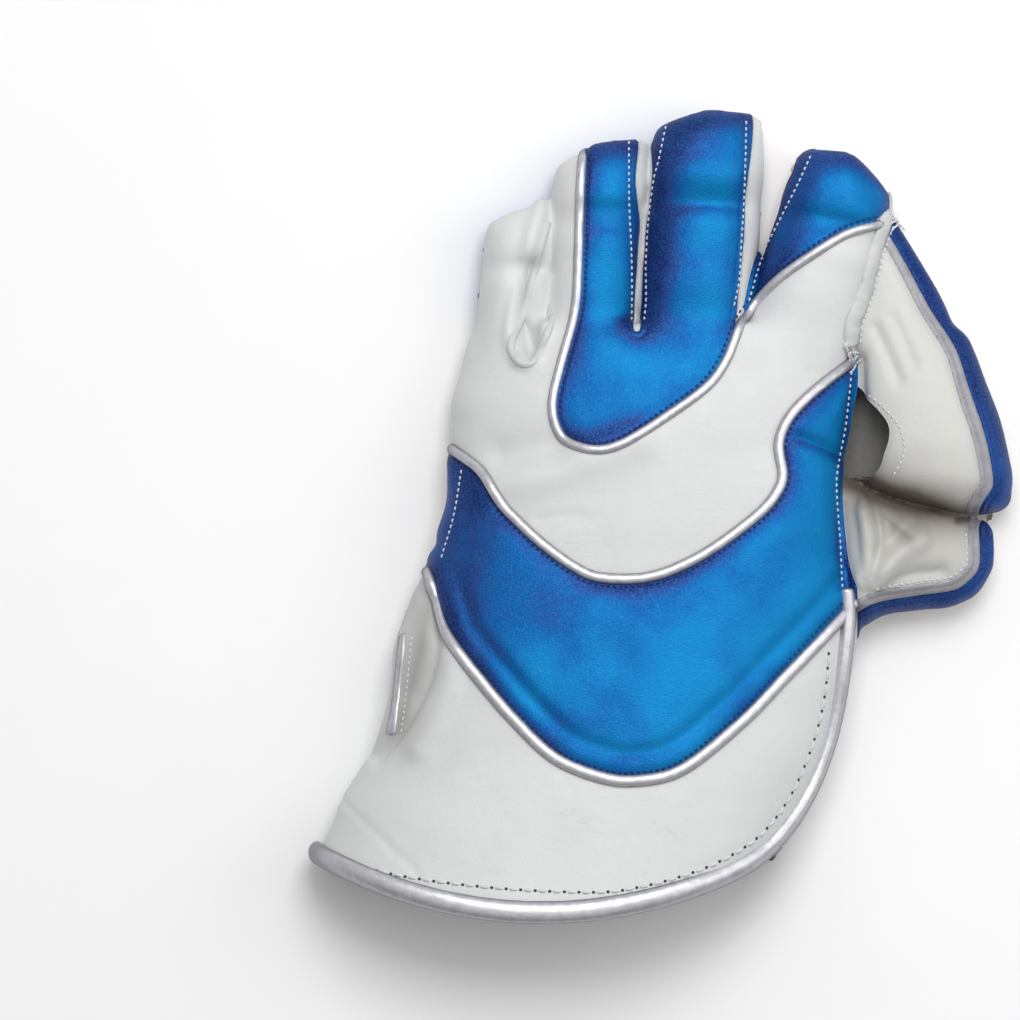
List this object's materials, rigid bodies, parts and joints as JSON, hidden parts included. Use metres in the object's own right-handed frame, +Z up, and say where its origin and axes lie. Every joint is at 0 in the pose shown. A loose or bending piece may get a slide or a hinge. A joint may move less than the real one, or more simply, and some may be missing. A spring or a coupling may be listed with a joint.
{
  "type": "wicketkeeping glove",
  "caption": "Left-hand wicketkeeping glove lying palm down: leather back with padded wrist panel, rubber-faced palm, web and thumb stall, flared open cuff with bound hem.",
  "frame": {"origin": "middle of the plan of the glove, on the surface it lies on", "axes": "+Y from the hem of the cuff towards the fingertips, +X towards the thumb, +Z up from the palm to the back of the hand"},
  "size_m": [0.2818, 0.3258, 0.0656],
  "materials": {
    "white_leather": "smooth off-white leather, satin",
    "blue_leather": "pearly blue leather with a fine mottled grain",
    "silver_binding": "metallic silver leather piping and binding",
    "grey_trim": "matt silver-grey strip",
    "rubber_facing": "matt rubber with ring-shaped pimples"
  },
  "bodies": {
    "root": {"hand_back": "white_leather", "cuff_back": "white_leather", "thumb_back": "white_leather", "palm_facing": "rubber_facing", "cuff_palm": "white_leather", "finger_panel": "blue_leather", "index_panel": "blue_leather", "finger_piping": "silver_binding", "wrist_panel": "blue_leather", "wrist_piping_upper": "silver_binding", "wrist_piping_lower": "silver_binding", "hem_binding_back": "silver_binding", "hem_binding_palm": "silver_binding", "cuff_side_binding": "silver_binding", "wrist_band": "white_leather", "palm_tape": "silver_binding", "palm_inset": "blue_leather", "thumb_band": "blue_leather", "thumb_trim": "grey_trim", "thumb_base_band": "blue_leather", "thumb_base_trim": "grey_trim", "web_seam": "white_leather", "little_finger_seam": "white_leather"}
  },
  "joints": []
}
